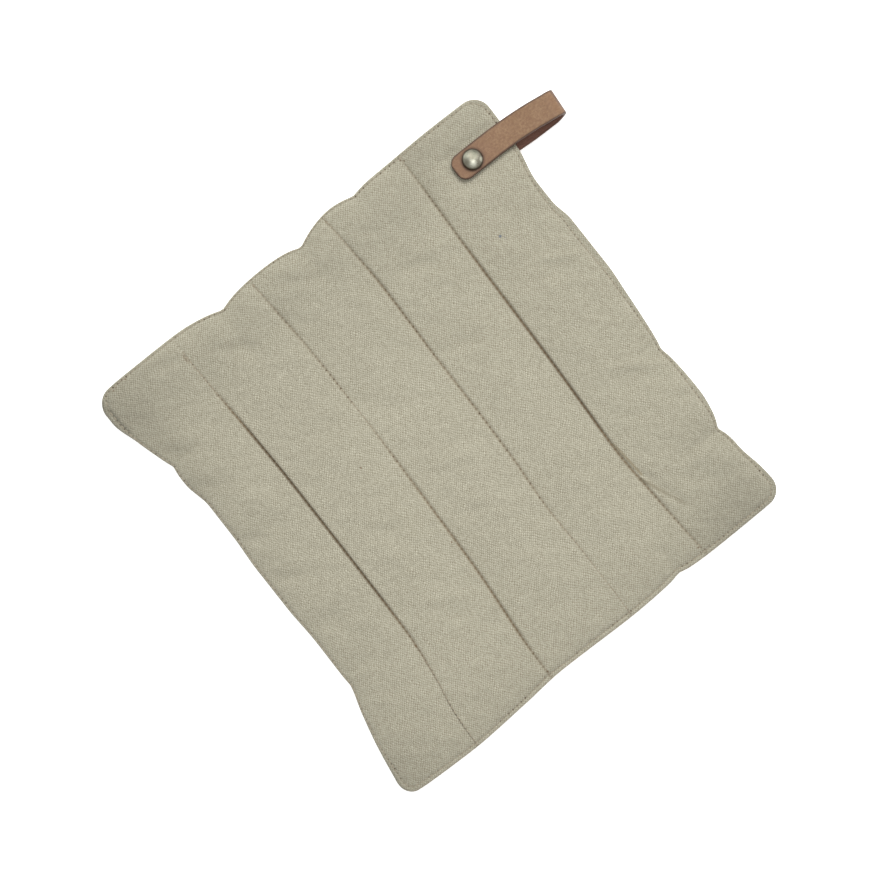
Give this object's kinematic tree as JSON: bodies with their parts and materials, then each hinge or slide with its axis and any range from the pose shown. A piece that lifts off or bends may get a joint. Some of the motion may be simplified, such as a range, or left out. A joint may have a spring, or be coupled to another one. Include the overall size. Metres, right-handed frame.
{
  "type": "quilted pot holder",
  "caption": "Square canvas pot holder, padded and sewn through in straight channels, with a riveted leather hanging loop near one corner.",
  "frame": {"origin": "middle of the pad's back face, on the surface that it rests on", "axes": "+X across the sewn channels, towards the side that the loop stands out from; +Y along the channels, towards the end that the loop is near; +Z out of the front face"},
  "size_m": [0.2317, 0.216, 0.0122],
  "materials": {
    "canvas": "matt natural canvas, unbleached greige, plain weave",
    "leather": "tan vegetable-tanned leather, satin grain side, darker edges",
    "rivet": "aged nickel, soft gloss",
    "thread": "brown cotton sewing thread, for the topstitching and quilting lines"
  },
  "bodies": {
    "root": {"quilted_pad": "canvas", "leather_loop": "leather", "rivet_front_cap": "rivet", "rivet_back_cap": "rivet"}
  },
  "joints": []
}
